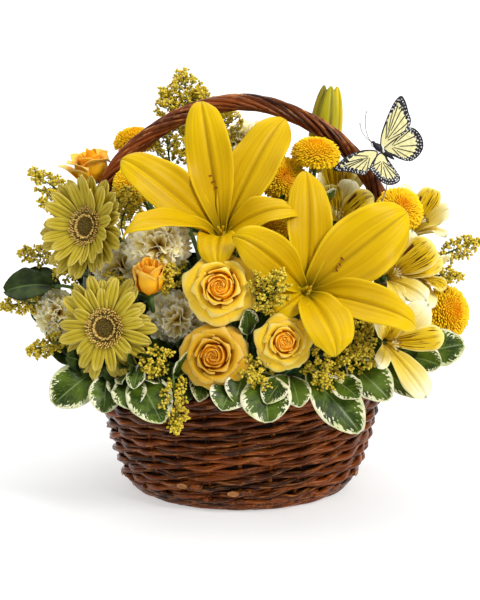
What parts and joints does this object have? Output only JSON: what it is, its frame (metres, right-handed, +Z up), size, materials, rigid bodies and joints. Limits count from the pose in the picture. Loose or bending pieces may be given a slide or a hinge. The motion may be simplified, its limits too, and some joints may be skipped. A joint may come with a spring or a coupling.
{
  "type": "flower basket arrangement",
  "caption": "Woven willow basket with a roped hoop handle, filled with yellow cut flowers, variegated leaves and a butterfly pick held in foam.",
  "frame": {"origin": "centre of the basket's flat underside, where it rests", "axes": "+Z up, -Y towards the front of the arrangement, +X to the right seen from the front, handle in the XZ plane"},
  "size_m": [0.3882, 0.2779, 0.34],
  "materials": {
    "wicker": "glossy dark brown varnished willow",
    "handle": "glossy dark brown twisted willow",
    "liner": "matt dark green",
    "foam": "matt open-cell green",
    "lily": "satin golden yellow petals",
    "bud": "satin green-yellow",
    "gerbera": "satin pale yellow petals, golden brown centre",
    "rose": "satin orange-yellow with cream edges",
    "pom": "matt orange-yellow florets",
    "carnation": "matt cream petals",
    "alstroemeria": "satin pale yellow with brown flecks",
    "solidago": "matt mustard florets on green stems",
    "leaf": "glossy dark green with cream margin",
    "butterfly_body": "matt black with white dots",
    "butterfly_wing": "cream with black veins",
    "wire": "bright wire"
  },
  "bodies": {
    "root": {"alstroemeria_front": "alstroemeria", "alstroemeria_high": "alstroemeria", "alstroemeria_inner": "alstroemeria", "alstroemeria_low": "alstroemeria", "alstroemeria_shade": "alstroemeria", "alstroemeria_upper": "alstroemeria", "basket_base": "wicker", "basket_wall": "wicker", "butterfly_body": "butterfly_body", "butterfly_wings_left": "butterfly_wing", "butterfly_wings_right": "butterfly_wing", "butterfly_wire": "wire", "carnation_back": "carnation", "carnation_left": "carnation", "carnation_low_left": "carnation", "carnation_middle": "carnation", "carnation_top": "carnation", "carnation_upper": "carnation", "floral_foam": "foam", "foot_wale": "wicker", "gerbera_lower": "gerbera", "gerbera_upper": "gerbera", "handle": "handle", "lily_bud": "bud", "lily_left": "lily", "lily_right": "lily", "liner": "liner", "pom_centre": "pom", "pom_left": "pom", "pom_left_back": "pom", "pom_middle": "pom", "pom_right_high": "pom", "pom_right_low": "pom", "pom_top": "pom", "rim_border": "wicker", "rose_back": "rose", "rose_lower": "rose", "rose_right": "rose", "rose_side": "rose", "rose_small": "rose", "rose_upper": "rose", "solidago_front_hang": "solidago", "solidago_front_mid": "solidago", "solidago_front_right": "solidago", "solidago_left_high": "solidago", "solidago_left_low": "solidago", "solidago_left_mid": "solidago", "solidago_right": "solidago", "solidago_top": "solidago", "sprig_back_left": "leaf", "sprig_back_right": "leaf", "sprig_front_centre": "leaf", "sprig_front_left": "leaf", "sprig_front_mid": "leaf", "sprig_front_right": "leaf", "sprig_left": "leaf", "sprig_left_low": "leaf", "sprig_right": "leaf", "sprig_right_front": "leaf"}
  },
  "joints": []
}
